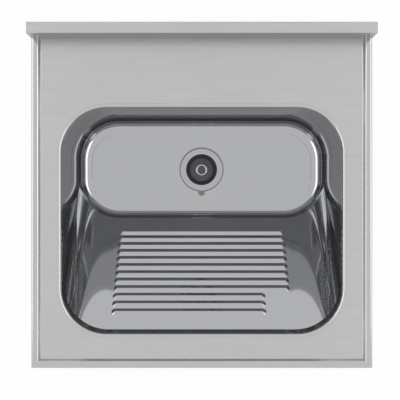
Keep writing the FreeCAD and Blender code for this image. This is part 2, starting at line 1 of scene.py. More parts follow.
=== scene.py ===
# %% [markdown]
# # A stainless steel laundry sink
# The sink is a satin deck with a raised bead, a low splashback, and a polished bowl whose front wall is
# a washboard ramp. A waste with a rubber plug sits in the floor, and stiffeners, sound pads and fixing
# brackets hide below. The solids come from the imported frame, and each cell dresses one of them.
# Lengths are metres, +X runs along the sink, +Y points to the wall and +Z points up.

# %% Load the frame
from math import atan2, cos, degrees, pi, radians, sin, tan

import bmesh
import bpy
from mathutils import Matrix, Vector


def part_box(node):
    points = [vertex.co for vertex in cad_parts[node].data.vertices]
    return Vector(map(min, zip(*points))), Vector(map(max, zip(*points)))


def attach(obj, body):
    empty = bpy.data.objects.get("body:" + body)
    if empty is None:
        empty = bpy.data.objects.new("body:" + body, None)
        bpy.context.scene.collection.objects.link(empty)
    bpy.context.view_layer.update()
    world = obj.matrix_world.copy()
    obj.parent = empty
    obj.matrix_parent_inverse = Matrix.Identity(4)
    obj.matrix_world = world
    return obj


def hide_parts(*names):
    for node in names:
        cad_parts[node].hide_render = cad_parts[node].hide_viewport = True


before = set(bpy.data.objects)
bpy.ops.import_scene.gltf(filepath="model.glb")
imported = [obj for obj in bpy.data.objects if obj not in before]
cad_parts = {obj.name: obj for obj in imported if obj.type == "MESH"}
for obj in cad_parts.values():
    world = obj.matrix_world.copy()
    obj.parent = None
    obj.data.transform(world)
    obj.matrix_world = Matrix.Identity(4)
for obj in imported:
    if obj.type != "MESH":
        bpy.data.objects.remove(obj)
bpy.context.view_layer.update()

print("nodes:", sorted(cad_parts))

# %% [markdown]
# Most of the sink is folded or pressed from sheet, so most pieces here are a single skin that gets its
# gauge from a Solidify modifier. A mirror finish shows every fault of shading: where a small rounding
# meets a wide flat, an averaged normal would bend the reflection far into the flat. The weighted normal
# modifier leans each corner towards its largest face, and so the flats stay flat.

# %% Helpers that turn a mesh into a piece
MM = 0.001
SHEET = 1 * MM
FLAT_WEIGHT = 80
DEBURR = 0.25 * MM
SHARP = radians(40)
SHEET_SPLIT = radians(30)
TURNED_SPLIT = radians(35)
MOULDED_SPLIT = radians(40)


def as_mesh(bm, name):
    """Store a finished bmesh as a mesh."""
    mesh = bpy.data.meshes.new(name)
    bm.to_mesh(mesh)
    bm.free()
    return mesh


def make_piece(bm, name, body, replaced, slot, *finishes):
    """Turn a bmesh into a piece that rides on a body and stands for CAD nodes."""
    mesh = as_mesh(bm, name)
    for finish in finishes:
        mesh.materials.append(finish)
    piece = bpy.data.objects.new(name, mesh)
    bpy.context.scene.collection.objects.link(piece)
    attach(piece, body)
    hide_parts(*replaced)
    print(f"{name}: {len(mesh.polygons)} faces for {', '.join(replaced)}")
    return piece


def gauge(piece, thickness, back_finish=0):
    """Thicken a skin behind its faces; back_finish counts on from the face's own finish."""
    sheet = piece.modifiers.new("gauge", "SOLIDIFY")
    sheet.thickness = thickness
    sheet.offset = -1
    sheet.use_even_offset = True
    sheet.material_offset = back_finish


def soften(piece, width, angle=SHARP):
    """Round every edge sharper than the angle, as a deburred edge is."""
    edges = piece.modifiers.new("softened_edges", "BEVEL")
    edges.width = width
    edges.segments = 2
    edges.limit_method = "ANGLE"
    edges.angle_limit = angle


def shade(piece, split):
    """Shade smooth, broken at edges sharper than split, with the flats kept flat."""
    piece.data.shade_smooth()
    piece.data.set_sharp_from_angle(angle=split)
    flats = piece.modifiers.new("flats_kept_flat", "WEIGHTED_NORMAL")
    flats.mode = "FACE_AREA"
    flats.weight = FLAT_WEIGHT
    flats.keep_sharp = True


print("sheet gauge", SHEET)

# %% [markdown]
# A few jobs come back in almost every piece. An open edge is pulled on to a new place, which is how a
# sheet is folded or drawn. Corners are rounded with the bevel operator, whose settings differ from those
# of the editor and so are given in full. At the end, the faces of a skin are made to agree, and turned
# over if they look the wrong way, because the gauge is added behind them.

# %% Helpers that shape a skin
UP = Vector((0, 0, 1))
NEAR = 0.01 * MM


def open_edges(bm):
    """Edges that have one face only."""
    return [edge for edge in bm.edges if edge.is_boundary]


def edges_of(corners):
    """The edges that end at these corners, each once."""
    return list(dict.fromkeys(edge for corner in corners for edge in corner.link_edges))


def grow(bm, edges, place):
    """Extrude an open edge, set its new corners by place(corner), and return the new open edge."""
    made = bmesh.ops.extrude_edge_only(bm, edges=edges)["geom"]
    corners = {item for item in made if isinstance(item, bmesh.types.BMVert)}
    for corner in corners:
        corner.co = place(corner)
    return [item for item in made if isinstance(item, bmesh.types.BMEdge) and set(item.verts) <= corners]


def rounded(bm, geom, size, steps, affect="EDGES"):
    """Round edges, or single corners with affect VERTICES."""
    return bmesh.ops.bevel(
        bm, geom=geom, offset=size, offset_type="OFFSET", affect=affect,
        segments=steps, profile=0.5, material=-1,
    )


def level_of(face):
    """Height of a face's middle."""
    return face.calc_center_median().z


def lowest(faces):
    """The face that lies lowest."""
    return min(faces, key=level_of)


def highest(faces):
    """The face that lies highest."""
    return max(faces, key=level_of)


def widest(faces):
    """The face with the largest area."""
    return max(faces, key=lambda face: face.calc_area())


def face_up(bm, picked, way=1):
    """Make the faces agree, and turn them if the picked one doesn't look up (down for a way of -1)."""
    bmesh.ops.recalc_face_normals(bm, faces=bm.faces)
    if picked(bm.faces).normal.z * way < 0:
        bmesh.ops.reverse_faces(bm, faces=bm.faces)


print("places nearer than", NEAR, "count as one")

# %% [markdown]
# Nearly every finish on the sink comes from one recipe: a noise, stretched along the grain, that changes
# tone and gloss a little and may press a shallow relief. Metals add how they reflect aslant. Polished
# steel is close to a mirror: its gloss hardly changes, it has no relief, because that would tear up the
# reflections, and a small share of it is dull, as on steel that is wiped daily. Satin steel has long
# lines along X, and the hidden back of the sheet is plain mill finish.

# %% Polished, satin and dull steel
NOISE_SPAN = (0.3, 0.7)


def grained_finish(name, colour, grain, rough, tones, depth, distance=0.02 * MM, detail=4, fine=0.65):
    """Material on a noise: its scale per axis (1/m), roughness range, tone range, and relief."""
    finish = bpy.data.materials.new(name)
    finish.use_nodes = True
    nodes = finish.node_tree.nodes
    link = finish.node_tree.links.new
    surface = nodes["Principled BSDF"]
    place = nodes.new("ShaderNodeTexCoord")
    stretch = nodes.new("ShaderNodeMapping")
    stretch.inputs["Scale"].default_value = grain
    link(place.outputs["Object"], stretch.inputs["Vector"])
    noise = nodes.new("ShaderNodeTexNoise")
    noise.inputs["Scale"].default_value = 1
    noise.inputs["Detail"].default_value = detail
    noise.inputs["Roughness"].default_value = fine
    link(stretch.outputs["Vector"], noise.inputs["Vector"])
    tone = nodes.new("ShaderNodeValToRGB")
    for stop, share, level in zip(tone.color_ramp.elements, NOISE_SPAN, tones):
        stop.position = share
        stop.color = (*(part * level for part in colour), 1)
    link(noise.outputs["Fac"], tone.inputs["Fac"])
    link(tone.outputs["Color"], surface.inputs["Base Color"])
    gloss = nodes.new("ShaderNodeMapRange")
    for socket, value in zip(("From Min", "From Max", "To Min", "To Max"), NOISE_SPAN + rough):
        gloss.inputs[socket].default_value = value
    link(noise.outputs["Fac"], gloss.inputs["Value"])
    link(gloss.outputs["Result"], surface.inputs["Roughness"])
    if depth:
        relief = nodes.new("ShaderNodeBump")
        relief.inputs["Strength"].default_value = depth
        relief.inputs["Distance"].default_value = distance
        link(noise.outputs["Fac"], relief.inputs["Height"])
        link(relief.outputs["Normal"], surface.inputs["Normal"])
    return finish


def metal(name, colour, grain, rough, tones, depth, aslant=0.8, bare=1):
    """Grained metal: its tint where it is seen aslant, and the share that is bare metal."""
    finish = grained_finish(name, colour, grain, rough, tones, depth)
    surface = finish.node_tree.nodes["Principled BSDF"]
    surface.inputs["Metallic"].default_value = bare
    surface.inputs["Specular Tint"].default_value = (aslant, aslant, aslant, 1)
    return finish


polished_steel = metal(
    "polished_steel", (0.44, 0.446, 0.457), (25, 900, 900), (0.04, 0.06), (0.985, 1.01), 0,
    aslant=0.56, bare=0.92,
)
satin_steel = metal("satin_steel", (0.49, 0.49, 0.487), (9, 420, 420), (0.30, 0.37), (0.96, 1.035), 0.15)
dull_steel = metal("dull_steel", (0.40, 0.40, 0.40), (60, 60, 60), (0.42, 0.55), (0.9, 1.06), 0.3)
print("steels:", polished_steel.name, satin_steel.name, dull_steel.name)

# %% [markdown]
# The bowl is drawn from one sheet. Its outline is a rectangle with rounded corners, nearly the same at
# floor, shoulder and rim. Only the front differs: there a ramp runs out to the mouth, the short wall above
# it leans out a little, and the floor's front corners are longer than they are wide. A bevel tool could
# round the folds, yet the floor's rounding has to keep its radius while the wall above it turns from
# upright to leaning. So every point of the outline is a station that remembers its place, the way it
# faces and the slope of its wall.

# %% Bowl: outline and stations
DECK_TOP = 33 * MM
BOWL_HALF = 248 * MM
BOWL_FRONT = -238.1 * MM
BOWL_REAR = 158.5 * MM
BOWL_CORNER = 80 * MM
FOOT_CORNER = 90 * MM
BOWL_DEPTH = 214 * MM
SHOULDER_DEPTH = 25.5 * MM
FRONT_LEAN = 1.8 * MM
FLOOR_FRONT = -27 * MM
CORNER_STEPS = 40
FLOOR = DECK_TOP - BOWL_DEPTH
WALL = BOWL_DEPTH - SHOULDER_DEPTH


def rounded_plate(bm, half, front, rear, level, corner, steps):
    """One flat face with rounded corners, added to the bmesh."""
    corners = bmesh.ops.create_grid(bm, x_segments=1, y_segments=1, size=0.5)["verts"]
    bmesh.ops.scale(bm, vec=(2 * half, rear - front, 1), verts=corners)
    bmesh.ops.translate(bm, vec=(0, (front + rear) / 2, level), verts=corners)
    return rounded(bm, corners, corner, steps, "VERTICES")["verts"][0].link_faces[0]


bowl_bm = bmesh.new()
rounded_plate(bowl_bm, BOWL_HALF, FLOOR_FRONT, BOWL_REAR, FLOOR, BOWL_CORNER, CORNER_STEPS)
station = bowl_bm.verts.layers.int.new("station")
foot, facing, pull, lean, slope = [], [], [], [], []
for index, corner in enumerate(bowl_bm.verts):
    corner[station] = index
    core_x = max(BOWL_CORNER - BOWL_HALF, min(BOWL_HALF - BOWL_CORNER, corner.co.x))
    core_y = max(FLOOR_FRONT + BOWL_CORNER, min(BOWL_REAR - BOWL_CORNER, corner.co.y))
    outward = (corner.co - Vector((core_x, core_y, FLOOR))).normalized()
    in_front = corner.co.y < (FLOOR_FRONT + BOWL_REAR) / 2
    wall = Vector((0, 0, WALL))
    if in_front:
        mouth_corner = Vector((core_x, BOWL_FRONT + BOWL_CORNER, FLOOR + WALL)) + outward * BOWL_CORNER
        oval = Vector((outward.x * BOWL_CORNER, outward.y * FOOT_CORNER)).length
        corner.co.x = core_x + outward.x * BOWL_CORNER ** 2 / oval
        corner.co.y = FLOOR_FRONT + FOOT_CORNER + outward.y * FOOT_CORNER ** 2 / oval
        wall = mouth_corner - corner.co
    foot.append(corner.co.copy())
    facing.append(outward)
    pull.append(wall)
    lean.append(Vector((0, -FRONT_LEAN if in_front else 0, 0)))
    slope.append(atan2(WALL, wall.dot(outward)))
print("stations round the bowl:", len(foot))

# %% [markdown]
# Five shapes follow each other up the wall: the rounding at the floor, a narrow strip where the ramp's
# foot is folded steeper, the soft shoulder where the ramp turns upright, the rolled rim, and a narrow land
# that meets the deck. A ball rolled along the foot of the wall gives the first one exactly. Each shape
# gives the place of a station for a share between 0 and 1.

# %% Bowl: shapes of the wall
FLOOR_ROUND = 21 * MM
REAR_ROUND = 3.2 * MM
FOLD = radians(11.5)
FOLD_WIDTH = 10 * MM
SHOULDER_ROUND = 3 * MM
RIM_ROLL = 6.4 * MM
RIM_LAND = 0.6 * MM


def fold_angle(at):
    """Slope at the end of the floor's rounding, which turns past a wall that leans."""
    return slope[at] + FOLD * (pi / 2 - slope[at]) / (pi / 2 - min(slope))


def floor_rounding(at, share):
    """Round between floor and wall, a little wider along the rear."""
    radius = FLOOR_ROUND + REAR_ROUND * max(0, facing[at].y)
    rise = radius * (1 - cos(slope[at]))
    contact = foot[at] + pull[at] * (rise / WALL)
    centre = contact + radius * (UP * cos(slope[at]) - facing[at] * sin(slope[at]))
    turn = fold_angle(at) * share
    return centre + radius * (facing[at] * sin(turn) - UP * cos(turn))


def fold_strip(at, share):
    """The steeper strip between the floor's rounding and the wall."""
    along = facing[at] * cos(fold_angle(at)) + UP * sin(fold_angle(at))
    return floor_rounding(at, 1) + along * FOLD_WIDTH * share


def shoulder_rounding(at, share):
    """Round where the leaning wall turns upright."""
    bend = pi / 2 - slope[at]
    centre = foot[at] + pull[at] + UP * SHOULDER_ROUND * tan(bend / 2) - facing[at] * SHOULDER_ROUND
    turn = slope[at] + bend * share
    return centre + SHOULDER_ROUND * (facing[at] * sin(turn) - UP * cos(turn))


def rim_rolling(at, share):
    """Rim rolled outwards from upright to flat."""
    turn = pi / 2 * share
    start = foot[at] + pull[at] + lean[at] + UP * (SHOULDER_DEPTH - RIM_ROLL)
    return start + RIM_ROLL * (facing[at] * (1 - cos(turn)) + UP * sin(turn))


def rim_landing(at, share):
    """Flat land of the rim, level with the deck."""
    return rim_rolling(at, 1) + facing[at] * RIM_LAND * share


print("steepest fold at the ramp's foot:", round(degrees(fold_angle(slope.index(min(slope)))), 1))

# %% [markdown]
# Now the sheet is drawn: its open edge is extruded from one place to the next, as a press pulls a blank
# over its die. A second loop close to the fold strip's end keeps the strip straight in the reflections.
# The outer part of the rim is brushed together with the deck, so its last faces are satin.

# %% Bowl: drawn skin
FLOOR_STEPS = 14
SHOULDER_STEPS = 6
RIM_STEPS = 10
FOLD_HOLD = 0.92
RIM_BRUSHED = 0.65
lip = open_edges(bowl_bm)
for corner in bowl_bm.verts:
    corner.co = floor_rounding(corner[station], 0)
places = [(floor_rounding, step / FLOOR_STEPS) for step in range(1, FLOOR_STEPS + 1)]
places += [(fold_strip, FOLD_HOLD), (fold_strip, 1)]
places += [(shoulder_rounding, step / SHOULDER_STEPS) for step in range(SHOULDER_STEPS + 1)]
places += [(rim_rolling, step / RIM_STEPS) for step in range(RIM_STEPS + 1)]
places += [(rim_landing, 1)]
for shape, share in places:
    lip = grow(bowl_bm, lip, lambda corner: shape(corner[station], share))
    brushed = shape is rim_landing or shape is rim_rolling and share > RIM_BRUSHED
    for edge in lip:
        edge.link_faces[0].material_index = 1 if brushed else 0
bmesh.ops.remove_doubles(bowl_bm, verts=bowl_bm.verts, dist=NEAR)
print("bowl faces drawn:", len(bowl_bm.faces))

# %% [markdown]
# The ramp is the flat that is left between the fold strip and the shoulder. Its angle is measured at a
# station on the straight front, and its knee is where its plane would meet the floor. All ridges are placed
# up the ramp from there.

# %% Bowl: plane of the ramp
front_station = min(range(len(foot)), key=lambda at: (foot[at].y, foot[at].x))
strip_end = fold_strip(front_station, 1)
ramp_run = shoulder_rounding(front_station, 0) - strip_end
RAMP_ANGLE = atan2(ramp_run.z, -ramp_run.y)
ramp_facing = Vector((0, sin(RAMP_ANGLE), cos(RAMP_ANGLE)))
uphill = Vector((0, -cos(RAMP_ANGLE), sin(RAMP_ANGLE)))
knee = Vector((0, strip_end.y + (strip_end.z - FLOOR) / tan(RAMP_ANGLE), FLOOR))
print("ramp leans", round(degrees(RAMP_ANGLE), 2), "degrees from a knee at", round(knee.y, 4))

# %% [markdown]
# The washboard is pressed into the ramp: nine long ridges, and three short ones near the shoulder that
# stop early on the right. One ridge is a turned button, spun from a four-point profile with softened
# corners and then pulled apart along X, which leaves round ends.

# %% Bowl: one ridge
RIDGE_HALF = 166 * MM
RIDGE_SHORT_END = 119 * MM
RIDGE_WIDTH = 15.7 * MM
RIDGE_CREST = 1.8 * MM
RIDGE_HEIGHT = 3 * MM
RIDGE_PITCH = 17.1 * MM
RIDGE_ENDS = 28
CREST_RIM = 0.5 * MM
CREST_ROUND = 0.4 * MM
RIDGE_FOOT_ROUND = 0.5 * MM
RIDGE_GAP = 0.1 * MM
BEND_STEPS = 4
MERGE = 0.001 * MM


def wire(bm, points):
    """A wire through points given as (x, z, rounding), with each corner rounded."""
    corners = [bm.verts.new((x, 0, z)) for x, z, _ in points]
    for start, end in zip(corners, corners[1:]):
        bm.edges.new((start, end))
    for corner, (_, _, rounding) in zip(corners, points):
        if rounding:
            rounded(bm, [corner], rounding, BEND_STEPS, "VERTICES")


def spin_round(bm, steps):
    """Turn all that the bmesh holds once round Z and close the seam."""
    bmesh.ops.spin(
        bm, geom=bm.verts[:] + bm.edges[:], cent=(0, 0, 0), axis=UP, dvec=(0, 0, 0),
        angle=2 * pi, steps=steps, use_merge=True,
    )
    bmesh.ops.remove_doubles(bm, verts=bm.verts, dist=MERGE)


def pressed_ridge(right, along):
    """One ridge as a mesh on the ramp, its right end and its place up the ramp given."""
    bm = bmesh.new()
    crest = RIDGE_CREST / 2
    wire(bm, [
        (crest - CREST_RIM, RIDGE_HEIGHT, 0), (crest, RIDGE_HEIGHT, CREST_ROUND),
        (RIDGE_WIDTH / 2, 0, RIDGE_FOOT_ROUND), (RIDGE_PITCH / 2 - RIDGE_GAP, 0, 0),
    ])
    bmesh.ops.rotate(bm, matrix=Matrix.Rotation(pi / RIDGE_ENDS, 3, "Z"), verts=bm.verts)
    spin_round(bm, RIDGE_ENDS)
    for corner in bm.verts:
        corner.co.x += right - RIDGE_WIDTH / 2 if corner.co.x > 0 else RIDGE_WIDTH / 2 - RIDGE_HALF
    top = [edge for edge in open_edges(bm) if edge.verts[0].co.z > crest]
    bmesh.ops.contextual_create(bm, geom=top)
    bm.transform(Matrix.Translation(knee + uphill * along) @ Matrix.Rotation(-RAMP_ANGLE, 4, "X"))
    return as_mesh(bm, "ridge")


print("ridges", round(RIDGE_PITCH, 4), "apart")

# %% [markdown]
# The ramp's face is cut into strips with bisect_plane, one strip for each ridge. Each strip is then taken
# out and filled again around the foot of its ridge, so the sheet stays one skin.

# %% Bowl: washboard
LONG_RIDGES = 9
RIDGES = 12
RIDGE_START = 61.1 * MM
FLAT = 0.9999
STRIP_AREA = 0.003
LOOK_AHEAD = 0.1


def ramp_strip(along):
    """The wide flat face of the ramp whose middle lies nearest to a place up the ramp."""
    wide = [
        face for face in bowl_bm.faces
        if face.normal.dot(ramp_facing) ** 2 > FLAT and face.calc_area() > STRIP_AREA
    ]
    return min(wide, key=lambda face: (face.calc_center_median() - knee - uphill * along).length)


bowl_bm.normal_update()
for cut in range(RIDGES + 1):
    along = RIDGE_START + (cut - 0.5) * RIDGE_PITCH
    strip = highest((ramp_strip(along), ramp_strip(along + LOOK_AHEAD)))
    whole = [strip] + strip.edges[:] + strip.verts[:]
    bmesh.ops.bisect_plane(bowl_bm, geom=whole, dist=MERGE, plane_co=knee + uphill * along, plane_no=uphill)
for index in range(RIDGES):
    along = RIDGE_START + index * RIDGE_PITCH
    strip = ramp_strip(along)
    outline = strip.edges[:]
    bmesh.ops.delete(bowl_bm, geom=[strip], context="FACES_ONLY")
    known = set(bowl_bm.edges)
    bowl_bm.from_mesh(pressed_ridge(RIDGE_HALF if index < LONG_RIDGES else RIDGE_SHORT_END, along))
    ridge_foot = [edge for edge in open_edges(bowl_bm) if edge not in known]
    bmesh.ops.triangle_fill(bowl_bm, use_beauty=True, edges=outline + ridge_foot, normal=ramp_facing)
print("bowl faces with washboard:", len(bowl_bm.faces))

# %% [markdown]
# Where the flat floor begins, the die leaves a fine scored line. It is strongest at the two sides and
# fades towards front and rear. Inside it the floor falls a little over a ring, so that water runs to the
# waste. Both come from insetting the floor's one large face.

# %% Bowl: floor
DRAW_LINE = 0.3 * MM
FALL_WIDTH = 12 * MM
FALL = 0.4 * MM


def inset(face, width, fall=0):
    """Move the outline of a bowl face inwards, and what lies inside it down."""
    bmesh.ops.inset_individual(bowl_bm, faces=[face], thickness=width, depth=-fall, use_even_offset=True)


floor_face = widest([
    face for face in bowl_bm.faces if face.normal.z ** 2 > FLAT and level_of(face) < FLOOR + MM
])
inset(floor_face, DRAW_LINE)
draw_line = floor_face.verts[:]
inset(floor_face, DRAW_LINE)
for corner in draw_line:
    nearest = min(range(len(foot)), key=lambda at: (foot[at] - corner.co).length)
    across = facing[nearest]
    corner.co.z -= DRAW_LINE * abs(across.x) * (1 + min(0, across.y))
inset(floor_face, FALL_WIDTH, FALL)
print("points along the scored line:", len(draw_line))

# %% [markdown]
# The floor is sunk round the waste, so that the flange lies flush. The sunk outline is a circle with a
# small lobe in front for the flange's lug. The floor is filled between its own outline and this one, the
# recess is pulled down and in to the drain hole, and its brink is rounded as pressing leaves it.

# %% Bowl: recess and drain hole
DRAIN = Vector((0, 58.6 * MM, FLOOR))
RECESS = 45.8 * MM
RECESS_DEPTH = 2.6 * MM
RECESS_STEPS = 120
DRAIN_HOLE = 33.3 * MM
LUG_PLACE = 47.6 * MM
LUG_GAP = 7 * MM
BRINK_ROUND = 0.8 * MM
BRINK_TURN = 1
BOWL_SPLIT = radians(28)
floor_outline = floor_face.edges[:]
bmesh.ops.delete(bowl_bm, geom=[floor_face], context="FACES_ONLY")
circle = bmesh.ops.create_circle(
    bowl_bm, radius=RECESS, segments=RECESS_STEPS, matrix=Matrix.Translation(DRAIN - UP * FALL)
)["verts"]
lug_centre = DRAIN - Vector((0, LUG_PLACE, 0))
for corner in circle:
    if (corner.co - lug_centre).length < LUG_GAP:
        shift = (corner.co - lug_centre).x
        corner.co.y = lug_centre.y - (LUG_GAP ** 2 - shift ** 2) ** 0.5
brim = edges_of(circle)
bmesh.ops.triangle_fill(bowl_bm, use_beauty=True, edges=floor_outline + brim, normal=UP)
brim = grow(bowl_bm, brim, lambda corner: corner.co + UP * (FALL - RECESS_DEPTH))


def to_hole(corner):
    """A point of the recess moved straight in to the drain hole."""
    middle = Vector((DRAIN.x, DRAIN.y, corner.co.z))
    return middle + (corner.co - middle).normalized() * DRAIN_HOLE


grow(bowl_bm, brim, to_hole)
brink = [
    edge for edge in bowl_bm.edges
    if edge.calc_face_angle(0) > BRINK_TURN
    and all(abs(corner.co.z - FLOOR + FALL) < NEAR for corner in edge.verts)
]
rounded(bowl_bm, brink, BRINK_ROUND, 3)
print("recess edges rounded:", len(brink))
face_up(bowl_bm, lowest)
bowl = make_piece(
    bowl_bm, "pressed_bowl", "sink", ["bowl"], "polished_steel", polished_steel, satin_steel, dull_steel
)
gauge(bowl, SHEET, back_finish=2)
shade(bowl, BOWL_SPLIT)

# %% [markdown]
# The deck is one folded sheet: a flat plate, a raised bead on three sides that keeps water in, a skirt
# and a flange turned under it that rests on the cabinet. The bead's section is drawn once as a wire with
# rounded bends and extruded round the three sides, its corners mitred because each point is moved in both
# directions alike. The skirt alone goes on behind the splashback.

# %% Deck: bead, skirt and flange
HALF = 300 * MM
SPLASH_FRONT = 280.4 * MM
FLANGE = 16 * MM
FLANGE_BEND = 1.2 * MM
BEAD_TOP = 40 * MM
BEAD_WIDTH = 11 * MM
BEAD_ROUND = 4.6 * MM
BEAD_BREAK = 2.7 * MM
BEAD_FOOT = 16.3 * MM
FOOT_ROUND = 1.2 * MM
PLATE_START = 21 * MM
deck_bm = bmesh.new()
wire(deck_bm, [
    (FLANGE - HALF, 0, 0), (-HALF, 0, FLANGE_BEND), (-HALF, DECK_TOP, 0), (-HALF, BEAD_TOP, BEAD_ROUND),
    (BEAD_WIDTH - HALF, BEAD_TOP, BEAD_BREAK), (BEAD_FOOT - HALF, DECK_TOP, FOOT_ROUND),
    (PLATE_START - HALF, DECK_TOP, 0),
])
bmesh.ops.translate(deck_bm, vec=(0, SPLASH_FRONT, 0), verts=deck_bm.verts)


def mitred(corner):
    """A corner of the section moved to the front, as far in as it is from the side."""
    return Vector((corner.co.x, corner.co.x, corner.co.z))


def mitred_behind(corner):
    """The same at the wall."""
    return Vector((corner.co.x, -corner.co.x, corner.co.z))


def mirrored(corner):
    """A corner moved along to the right side."""
    return Vector((-corner.co.x, corner.co.y, corner.co.z))


def to_splash(corner):
    """A corner moved back or forth to the splashback's front."""
    return Vector((corner.co.x, SPLASH_FRONT, corner.co.z))


def at_rear_left(corner):
    """Whether a corner of skirt or flange lies at the left end of the splashback's front."""
    x, y, z = corner.co
    on_skirt = x < NEAR - HALF and z < DECK_TOP + MM
    return abs(y - SPLASH_FRONT) < NEAR and x < 0 and (on_skirt or z < DECK_TOP - MM)


front_edge = deck_bm.edges[:]
for move in (mitred, mirrored, to_splash):
    front_edge = grow(deck_bm, front_edge, move)
rear_edge = [edge for edge in deck_bm.edges if all(at_rear_left(corner) for corner in edge.verts)]
for move in (mitred_behind, mirrored, to_splash):
    rear_edge = grow(deck_bm, rear_edge, move)
bmesh.ops.remove_doubles(deck_bm, verts=deck_bm.verts, dist=NEAR)
print("deck faces before the plate:", len(deck_bm.faces))

# %% [markdown]
# The plate is filled between the bead's foot and the bowl's rim. Only the plate has the long satin lines.
# The bead is rolled before the deck is brushed, and so it keeps a smoother, glossier finish, which draws
# the bright and dark lines along it.

# %% Deck: plate round the bowl
REACH = RIM_ROLL + RIM_LAND
BEAD_RISE = 0.1 * MM
rolled_steel = metal("rolled_steel", (0.49, 0.49, 0.487), (300, 300, 300), (0.14, 0.18), (0.98, 1.02), 0.05)


def deck_corner(side, distance):
    """The corner at the splashback's front that lies nearest to a distance from one side."""
    place = Vector((side * (HALF - distance), SPLASH_FRONT, DECK_TOP))
    return min(deck_bm.verts, key=lambda corner: (corner.co - place).length)


for side in (-1, 1):
    deck_bm.edges.new((deck_corner(side, 0), deck_corner(side, BEAD_FOOT + FOOT_ROUND)))
sill = [
    edge for edge in deck_bm.edges
    if len(edge.link_faces) < 2 and all(abs(corner.co.z - DECK_TOP) < NEAR for corner in edge.verts)
]
mouth_face = rounded_plate(
    deck_bm, BOWL_HALF + REACH, BOWL_FRONT - FRONT_LEAN - REACH, BOWL_REAR + REACH, DECK_TOP,
    BOWL_CORNER + REACH, CORNER_STEPS,
)
mouth = mouth_face.edges[:]
bmesh.ops.delete(deck_bm, geom=[mouth_face], context="FACES_ONLY")
bmesh.ops.triangle_fill(deck_bm, use_beauty=True, edges=sill + mouth, normal=UP)
face_up(deck_bm, widest)
for face in deck_bm.faces:
    face.material_index = 1 if level_of(face) > DECK_TOP + BEAD_RISE else 0
deck = make_piece(
    deck_bm, "folded_deck", "sink", ["deck_panel"], "satin_steel", satin_steel, rolled_steel, dull_steel
)
gauge(deck, SHEET, back_finish=2)
shade(deck, SHEET_SPLIT)

# %% [markdown]
# The splashback is an inverted channel along the wall, folded over a narrow radius at its two top edges
# and closed by a small plate at each end. It is the same kind of job as the bead, a rounded wire pulled
# along X. The end plates stand inside the fold, flush with its ends, so only a fine seam shows.

# %% Splashback and its end plates
SPLASH_TOP = 75 * MM
SPLASH_ROUND = 1.8 * MM
CAP_CORNER = 0.8 * MM
splash_bm = bmesh.new()
wire(splash_bm, [
    (SPLASH_FRONT, DECK_TOP, 0), (SPLASH_FRONT, SPLASH_TOP, SPLASH_ROUND), (HALF, SPLASH_TOP, SPLASH_ROUND),
    (HALF, DECK_TOP, 0),
])
bmesh.ops.rotate(splash_bm, matrix=Matrix.Rotation(pi / 2, 3, "Z"), verts=splash_bm.verts)
bmesh.ops.translate(splash_bm, vec=(-HALF, 0, 0), verts=splash_bm.verts)
grow(splash_bm, splash_bm.edges[:], lambda corner: Vector((HALF, corner.co.y, corner.co.z)))
face_up(splash_bm, highest)
splash = make_piece(
    splash_bm, "folded_splashback", "sink", ["splashback"], "satin_steel", satin_steel, dull_steel
)
gauge(splash, SHEET, back_finish=1)
shade(splash, SHEET_SPLIT)

for side, hand in ((-1, "left"), (1, "right")):
    cap_bm = bmesh.new()
    half_depth = (HALF - SPLASH_FRONT) / 2 - SHEET
    rounded_plate(cap_bm, half_depth, 0, SPLASH_TOP - SHEET - DECK_TOP, 0, CAP_CORNER, 3)
    stand = Matrix.Rotation(side * pi / 2, 4, "Z") @ Matrix.Rotation(pi / 2, 4, "X")
    cap_bm.transform(Matrix.Translation((side * HALF, (HALF + SPLASH_FRONT) / 2, DECK_TOP)) @ stand)
    cap = make_piece(cap_bm, f"end_plate_{hand}", "sink", [f"splash_cap_{hand}"], "satin_steel", satin_steel)
    gauge(cap, SHEET)
    soften(cap, DEBURR)
    shade(cap, SHEET_SPLIT)

# %% [markdown]
# The waste is turned from stainless bar: a flat flange in the floor's recess, a dished mouth, a tapered
# seat for the plug, a ledge for the grid, and a tail. A closed wire of its section, spun once round, gives
# all of it. The lug in front of the flange is a small disc with a darker and rougher finish than the rest.

# %% Waste: turned body and lug
TURN_STEPS = 64
LUG = 6.1 * MM
LUG_STEPS = 32
LUG_UNDER = 1.5 * MM
LUG_HEIGHT = 0.9 * MM
LUG_ROUND = 0.35 * MM
WASTE_SECTION = [
    (38, 0, 0), (44.3, 0, 1.2), (44.3, -1.6, 0), (33, -1.6, 0.4), (33, -28, 1.2), (22.7, -38, 1.2),
    (22.7, -62, 0.5), (20.5, -62, 0.5), (20.5, -33, 0), (22.9, -33, 0), (22.9, -24, 0.3), (25.3, -13, 1.2),
    (31, -1.6, 1.5), (32.2, 0, 1.1),
]
waste_steel = metal(
    "waste_steel", (0.405, 0.410, 0.425), (700, 700, 700), (0.08, 0.13), (0.97, 1.02), 0.05, aslant=0.65
)
# The lug's finish is darker and rougher than the waste's steel.
dark_lug_metal = metal("dark_lug_metal", (0.2, 0.2, 0.203), (500, 500, 500), (0.38, 0.5), (0.85, 1.12), 0.3)


def closed_wire(bm, points):
    """A closed section of (radius, height, rounding) points."""
    wire(bm, points)
    bm.edges.new([corner for corner in bm.verts if len(corner.link_edges) == 1])


def turned(section, draw=closed_wire):
    """A piece turned round the drain's axis from a section in millimetres, heights from the bowl's floor."""
    bm = bmesh.new()
    draw(bm, [(radius * MM, height * MM, rounding * MM) for radius, height, rounding in section])
    spin_round(bm, TURN_STEPS)
    bmesh.ops.recalc_face_normals(bm, faces=bm.faces)
    bmesh.ops.translate(bm, vec=DRAIN, verts=bm.verts)
    return bm


